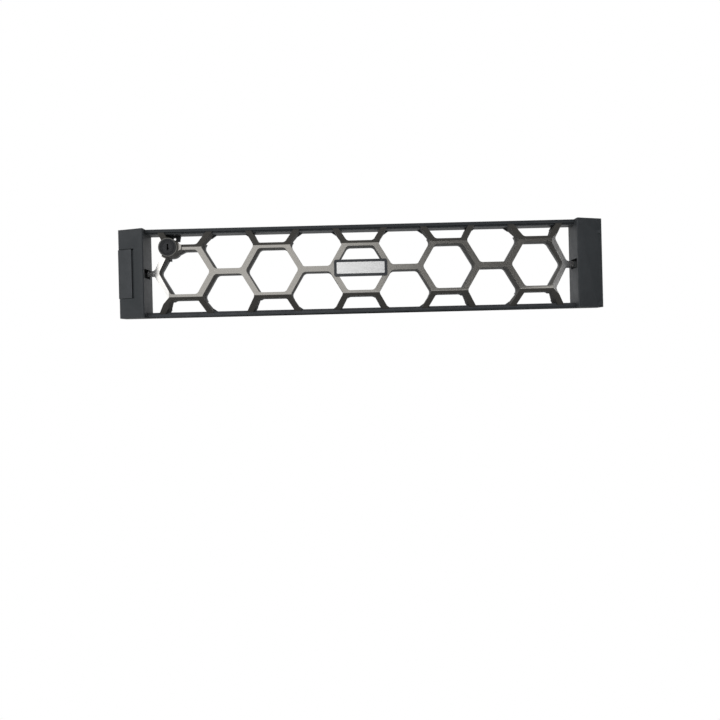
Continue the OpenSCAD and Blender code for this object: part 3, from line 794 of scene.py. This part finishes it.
@dataclass
class SmallParts:
    """Badge, lock, button, screws and the parts of the release."""

    parts: tuple[Trim, ...] = (
        Trim("badge_plate", "bezel", Finish.BADGE, "badge_frame", 0.35 * MM),
        Trim("badge_inlay", "bezel", Finish.INLAY, "badge_face", 0.2 * MM),
        Trim("badge_carrier", "bezel", Finish.CARRIER, "carrier", 0.3 * MM),
        Trim("release_button", "release", Finish.BUTTON, "button", 0.3 * MM),
        Trim("left_cover_screws", "bezel", Finish.DARK_STEEL, "dark_screw", 0.12 * MM),
        Trim("right_cover_screws", "bezel", Finish.DARK_STEEL, "dark_screw", 0.12 * MM),
        Trim("badge_screws", "bezel", Finish.DARK_STEEL, "dark_screw", 0.12 * MM),
        Trim("frame_screws", "bezel", Finish.BRIGHT, "bright_screw", 0.12 * MM),
        Trim("lock_ring_nut", "bezel", Finish.NUT, "lock_bright", 0.2 * MM),
        Trim("lock_cam", "lock_plug", Finish.BRIGHT, "lock_bright", 0.15 * MM),
        Trim("cam_screw", "lock_plug", Finish.DARK_STEEL, "dark_screw", 0.2 * MM),
        Trim("latch_plate", "release", Finish.BRIGHT, "lock_bright", 0.15 * MM),
        Trim("lock_link", "release", Finish.BRIGHT, "lock_bright", 0.12 * MM),
        Trim("hook_tabs", "bezel", Finish.TAB_STEEL, "tab_steel", 0.2 * MM),
        Trim("rail_clip", "bezel", Finish.BRIGHT, "lock_bright", 0.1 * MM),
    )

    def build(self) -> None:
        """Builds each part in turn."""
        for part in self.parts:
            part.build()


@dataclass
class LockFace:
    """Knurled face and bright rim of the key lock."""

    measures: Measures
    teeth: int = 44

    def build(self) -> None:
        """Adds the knurling, the thin inner ring and the bright rim."""
        centre = (self.measures.lock_x, self.measures.lock_front, self.measures.lock_z)
        ring_profile = [(5.35, 0.05), (5.35, -0.10), (5.5, -0.16), (5.7, -0.16), (5.85, -0.10), (5.85, 0.05)]
        rim_profile = [(8.22, 1.3), (8.22, 0.35), (8.4, 0.18), (8.85, 0.18), (9.05, 0.36), (9.05, 0.6)]
        ring = turned("lock_inner_ring", ring_profile, centre, 64)
        rim = turned("lock_rim", rim_profile, centre, 72)
        for piece, finish in ((ring, Finish.LOCK_BLACK), (rim, Finish.RIM)):
            paint(piece, finish)
            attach(piece, "bezel")
        knurl = self._knurl(centre)
        paint(knurl, Finish.LOCK_BLACK)
        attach(knurl, "bezel")
        LOG.info("lock face has %d ridges", self.teeth)

    def _knurl(self, centre: Point) -> bpy.types.Object:
        """Makes one rounded ridge and repeats it round the lock.

        Args:
            centre: Middle of the lock's face.

        Returns:
            The ring of ridges.
        """
        shape = bmesh.new()
        made = bmesh.ops.create_cube(shape, size=1)
        bmesh.ops.scale(shape, vec=(1.75 * MM, 0.34 * MM, 0.42 * MM), verts=made["verts"])
        round_edges(shape, shape.edges[:], 0.1 * MM)
        bmesh.ops.translate(shape, vec=Vector(centre) + Vector((7.1 * MM, 0.02 * MM, 0)), verts=shape.verts)
        ridge = shape.verts[:] + shape.edges[:] + shape.faces[:]
        copies = self.teeth - 1
        bmesh.ops.spin(shape, geom=ridge, cent=centre, axis=(0, 1, 0), angle=math.tau * copies / self.teeth,
                       steps=copies, use_duplicate=True)
        bmesh.ops.recalc_face_normals(shape, faces=shape.faces)
        return finish_mesh(shape, "lock_knurl", 40)


@dataclass
class RearDetails:
    """Backs of the slanting struts, painted shade in the screw recesses and the rim of the ring nut."""

    measures: Measures
    start: float = 4.3 * MM
    rise: float = 6.6 * MM
    fall: float = 0.97
    back_w: float = 3.3 * MM
    back_t: float = 0.7 * MM
    back_y: float = -3.7 * MM

    def build(self) -> None:
        """Builds the three groups."""
        backs = self._strut_backs()
        paint(backs, Finish.STRUT_BACK)
        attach(backs, "bezel")
        self._nut_rim()
        self._recess_shades()

    def _strut_backs(self) -> bpy.types.Object:
        """Closes the hollow of each slanting strut with a thin back, except the strut that carries the lock.

        Returns:
            The backs, as one piece.
        """
        shape = bmesh.new()
        lock_strut = (-2, -1, 1)
        for strut in product(range(-2, 3), (-1, 1), (-1, 1)):
            if strut != lock_strut:
                self._strut_back(shape, *strut)
        round_edges(shape, shape.edges[:], 0.12 * MM)
        return finish_mesh(shape, "strut_backs")

    def _strut_back(self, shape: bmesh.types.BMesh, col: int, side: int, way: int) -> None:
        """Adds the back of one slanting strut.

        Args:
            shape: The bmesh that takes it.
            col: Column of the cell, counted from the middle.
            side: -1 for the cell's left strut and 1 for its right one.
            way: -1 for a strut below the cell and 1 for one above.
        """
        places = self.measures
        run = 1 / math.tan(places.lean)
        middle = self.start + self.rise / 2
        made = bmesh.ops.create_cube(shape, size=1)
        bmesh.ops.scale(shape, vec=(self.back_w, self.back_t, self.rise), verts=made["verts"])
        shear = Matrix(((1, 0, side * way * run, 0), (0, 1, way * self.fall, 0), (0, 0, 1, 0), (0, 0, 0, 1)))
        bmesh.ops.transform(shape, matrix=shear, verts=made["verts"])
        centre = (col * places.pitch + side * (places.pitch / 6 + middle * run),
                  self.back_y + self.fall * self.rise / 2,
                  places.mid_z + way * (places.fold + middle))
        bmesh.ops.translate(shape, vec=centre, verts=made["verts"])

    def _nut_rim(self) -> None:
        """Adds the bright raised rim of the ring nut."""
        nut_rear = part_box("lock_ring_nut")[1][1]
        centre = (self.measures.lock_x, nut_rear, self.measures.lock_z)
        profile = [(7.35, -0.1), (7.45, 0.1), (7.65, 0.2), (7.9, 0.2), (8.12, 0.02), (8.12, -0.9)]
        rim = turned("nut_rim", profile, centre, 72)
        paint(rim, Finish.BRIGHT)
        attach(rim, "bezel")

    def _recess_shades(self) -> None:
        """Adds painted shade: flat dark discs on the bright screw heads where their drive recesses lie in
        shadow, and a dark strip on the cam screw's head for its shaded slot.
        """
        places = self.measures
        head_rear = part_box("frame_screws")[1][1]
        profile = [(0.02, 0.01), (0.6, 0.015), (1.05, 0.03), (1.15, 0.0)]
        for index, col in enumerate((-2, -1, 0)):
            side = 1 if col < 0 else -1
            centre = (col * places.pitch + side * places.pitch / 6, head_rear, places.lock_z)
            socket = turned(f"frame_screw_recess_shade_{index + 1}", profile, centre, 24)
            paint(socket, Finish.RECESS)
            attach(socket, "bezel")
        # Painted shade: a dark strip on the cam screw's head for its shaded slot.
        screw_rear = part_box("cam_screw")[1][1]
        shape = bmesh.new()
        bmesh.ops.create_cube(shape, size=1)
        bmesh.ops.scale(shape, vec=(5.6 * MM, 0.3 * MM, 0.9 * MM), verts=shape.verts)
        round_edges(shape, shape.edges[:], 0.1 * MM)
        turn = Matrix.Rotation(math.radians(35), 3, "Y")
        bmesh.ops.rotate(shape, cent=(0, 0, 0), matrix=turn, verts=shape.verts)
        centre = (places.lock_x, screw_rear - 0.1 * MM, places.lock_z)
        bmesh.ops.translate(shape, vec=centre, verts=shape.verts)
        slot = finish_mesh(shape, "cam_screw_slot_shade")
        paint(slot, Finish.RECESS)
        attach(slot, "lock_plug")


@dataclass
class ReturnSprings:
    """The two coil springs behind the latch plate, which shorten as the button goes in."""

    travel: float = 2.2 * MM
    spare: float = 0.1 * MM

    def build(self) -> None:
        """Copies the coils, smooths them and gives the copy a mesh of its own."""
        shape = bmesh.new()
        shape.from_mesh(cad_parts["release_springs"].data)
        bmesh.ops.remove_doubles(shape, verts=shape.verts, dist=WELD)
        piece = finish_mesh(shape, "return_springs", 60)
        stand_for(piece, "release_springs", "bezel", Finish.SPRING)
        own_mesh(piece)


@dataclass
class CadFinishes:
    """CAD nodes whose shape stays and that only take a finish."""

    finishes: dict[str, Finish] = field(default_factory=lambda: {
        "lock_housing": Finish.LOCK_BLACK,
        "lock_plug": Finish.LOCK_BLACK,
        "link_rivet": Finish.BRIGHT,
        "rear_label": Finish.LABEL,
    })

    def build(self) -> None:
        """Paints each node."""
        for node, finish in self.finishes.items():
            paint(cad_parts[node], finish)
            LOG.info("%s takes %s", node, finish.name)


# ---------------------------------------------------------------- studio


@dataclass
class Studio:
    """Floor, white surround, soft lamps and the camera."""

    measures: Measures
    eye: Point = (-2.5 * MM, -578 * MM, -31 * MM)
    lens: float = 28.8
    roll_deg: float = 1.4
    raise_frame: float = -0.022
    card_start: float = 0.11
    card_far: float = 2.6
    card_front: float = -1.5
    card_low: float = -0.6
    card_high: float = 1.2

    def build(self) -> None:
        """Makes everything round the object."""
        self._world()
        self._floor()
        self._lamps()
        self._camera()
        bpy.context.scene.view_settings.view_transform = "Standard"

    def _white_for_sight(self, tree: bpy.types.NodeTree) -> bpy.types.Node:
        """Adds a node that is 1 for camera, glossy and transmitted rays.

        Args:
            tree: The node tree.

        Returns:
            The node.
        """
        path = tree.nodes.new("ShaderNodeLightPath")
        first = tree.nodes.new("ShaderNodeMath")
        first.operation = "MAXIMUM"
        second = tree.nodes.new("ShaderNodeMath")
        second.operation = "MAXIMUM"
        tree.links.new(path.outputs["Is Camera Ray"], first.inputs[0])
        tree.links.new(path.outputs["Is Glossy Ray"], first.inputs[1])
        tree.links.new(first.outputs[0], second.inputs[0])
        tree.links.new(path.outputs["Is Transmission Ray"], second.inputs[1])
        return second

    def _world(self) -> None:
        """White to the eye and in reflections, softer as a light."""
        world = bpy.data.worlds.new("surround")
        bpy.context.scene.world = world
        world.use_nodes = True
        tree = world.node_tree
        light = tree.nodes["Background"]
        light.inputs["Color"].default_value = (0.93, 0.95, 1, 1)
        light.inputs["Strength"].default_value = 0.55
        white = tree.nodes.new("ShaderNodeBackground")
        white.inputs["Color"].default_value = (1, 1, 1, 1)
        white.inputs["Strength"].default_value = 1.0
        mix = tree.nodes.new("ShaderNodeMixShader")
        sight = self._white_for_sight(tree)
        tree.links.new(sight.outputs[0], mix.inputs[0])
        tree.links.new(light.outputs[0], mix.inputs[1])
        tree.links.new(white.outputs[0], mix.inputs[2])
        tree.links.new(mix.outputs[0], tree.nodes["World Output"].inputs["Surface"])

    def _floor(self) -> None:
        """A pale floor, seen from above only, that passes into the white surround away from the object."""
        shape = bmesh.new()
        bmesh.ops.create_grid(shape, x_segments=8, y_segments=8, size=3)
        floor = finish_mesh(shape, "floor")
        floor.data.transform(Matrix.Translation((0, 0, self.measures.low.z)))
        material, shader = _blank("floor_paper")
        tree = material.node_tree
        link = tree.links.new
        shader.inputs["Base Color"].default_value = (0.86, 0.86, 0.86, 1)
        shader.inputs["Roughness"].default_value = 0.9
        shader.inputs["Specular IOR Level"].default_value = 0.1
        place = tree.nodes.new("ShaderNodeTexCoord")
        squash = tree.nodes.new("ShaderNodeMapping")
        squash.inputs["Scale"].default_value = (0.62, 1, 0)
        reach = tree.nodes.new("ShaderNodeVectorMath")
        reach.operation = "LENGTH"
        fade = tree.nodes.new("ShaderNodeMapRange")
        fade.interpolation_type = "SMOOTHSTEP"
        fade.inputs["From Min"].default_value = 0.02
        fade.inputs["From Max"].default_value = 0.26
        sight = self._white_for_sight(tree)
        seen = tree.nodes.new("ShaderNodeMath")
        seen.operation = "MULTIPLY"
        white = tree.nodes.new("ShaderNodeEmission")
        paper = tree.nodes.new("ShaderNodeMixShader")
        clear = tree.nodes.new("ShaderNodeBsdfTransparent")
        side = tree.nodes.new("ShaderNodeNewGeometry")
        mix = tree.nodes.new("ShaderNodeMixShader")
        link(place.outputs["Object"], squash.inputs["Vector"])
        link(squash.outputs["Vector"], reach.inputs[0])
        link(reach.outputs["Value"], fade.inputs["Value"])
        link(fade.outputs["Result"], seen.inputs[0])
        link(sight.outputs[0], seen.inputs[1])
        link(seen.outputs[0], paper.inputs[0])
        link(shader.outputs[0], paper.inputs[1])
        link(white.outputs[0], paper.inputs[2])
        link(side.outputs["Backfacing"], mix.inputs[0])
        link(paper.outputs[0], mix.inputs[1])
        link(clear.outputs[0], mix.inputs[2])
        link(mix.outputs[0], tree.nodes["Material Output"].inputs["Surface"])
        floor.data.materials.append(material)

    def _flag(self, name: str, corners: Sequence[Point], tone: float) -> None:
        """A card that shows only in reflections.

        Args:
            name: Name of the card.
            corners: Its four corners, in metres.
            tone: Its brightness.
        """
        shape = bmesh.new()
        shape.faces.new([shape.verts.new(c) for c in corners])
        card = finish_mesh(shape, name)
        material = bpy.data.materials.new(name)
        material.use_nodes = True
        tree = material.node_tree
        tree.nodes.clear()
        glow = tree.nodes.new("ShaderNodeEmission")
        glow.inputs["Color"].default_value = (1, 0.985, 0.96, 1)
        glow.inputs["Strength"].default_value = tone
        out = tree.nodes.new("ShaderNodeOutputMaterial")
        tree.links.new(glow.outputs[0], out.inputs["Surface"])
        card.data.materials.append(material)
        card.visible_camera = False
        card.visible_diffuse = False
        card.visible_shadow = False
        card.visible_transmission = False
        card.visible_volume_scatter = False

    def _lamp(self, name: str, place: Point, size: float, watts: float) -> None:
        """Adds a soft square lamp that faces the bezel and doesn't show in reflections.

        Args:
            name: Name of the lamp.
            place: Where it hangs.
            size: Its width.
            watts: Its power.
        """
        data = bpy.data.lights.new(name, "AREA")
        data.size = size
        data.energy = watts
        lamp = bpy.data.objects.new(name, data)
        lamp.location = place
        aim = Vector((0, 0, self.measures.mid_z))
        lamp.rotation_euler = (aim - Vector(place)).to_track_quat("-Z", "Y").to_euler()
        lamp.visible_glossy = False
        bpy.context.scene.collection.objects.link(lamp)

    def _lamps(self) -> None:
        """Soft lamps from the left, and cards that shape the reflections in the coat."""
        self._lamp("key", (-0.7, -1.5, 0.9), 1.2, 20)
        self._lamp("fill", (0.5, -1.6, 0.5), 1.4, 2.5)
        self._lamp("back", (-0.5, 1.5, 1.1), 1.4, 22)
        start, far, front, high = self.card_start, self.card_far, self.card_front, self.card_high
        self._flag("flag_right", self._upright((start, front), (far, front)), 0.01)
        self._flag("flag_side", self._upright((far, front), (far, -0.1)), 0.08)
        self._flag("glow_side", self._upright((-far, -1.6), (-far, -0.5)), 1.5)
        cover = [(start, front, high), (far, front, high), (far, -0.05, high), (start, -0.05, high)]
        self._flag("flag_top", cover, 0.02)

    def _upright(self, first: tuple[float, float], last: tuple[float, float]) -> list[Point]:
        """Works out the corners of an upright card.

        Args:
            first: X and Y of one end.
            last: X and Y of the other end.

        Returns:
            Its four corners.
        """
        low, high = self.card_low, self.card_high
        return [(*first, low), (*last, low), (*last, high), (*first, high)]

    def _camera(self) -> None:
        """Camera level with the bench edge, looking straight at the bezel."""
        data = bpy.data.cameras.new("camera")
        data.sensor_width = 36
        data.lens = self.lens
        data.shift_y = self.raise_frame
        data.clip_start = 0.01
        data.clip_end = 20
        camera = bpy.data.objects.new("camera", data)
        camera.location = self.eye
        camera.rotation_euler = (math.radians(90), math.radians(self.roll_deg), 0)
        bpy.context.scene.collection.objects.link(camera)
        bpy.context.scene.camera = camera


def main() -> None:
    """Builds the sub-assemblies in order."""
    logging.basicConfig(level=logging.INFO, format="%(name)s: %(message)s")
    Studio(PLACES).build()
    FrameMoulding().build()
    Honeycomb().build()
    SmallParts().build()
    ReturnSprings().build()
    LockFace(PLACES).build()
    RearDetails(PLACES).build()
    CadFinishes().build()


if __name__ == "__main__":
    main()
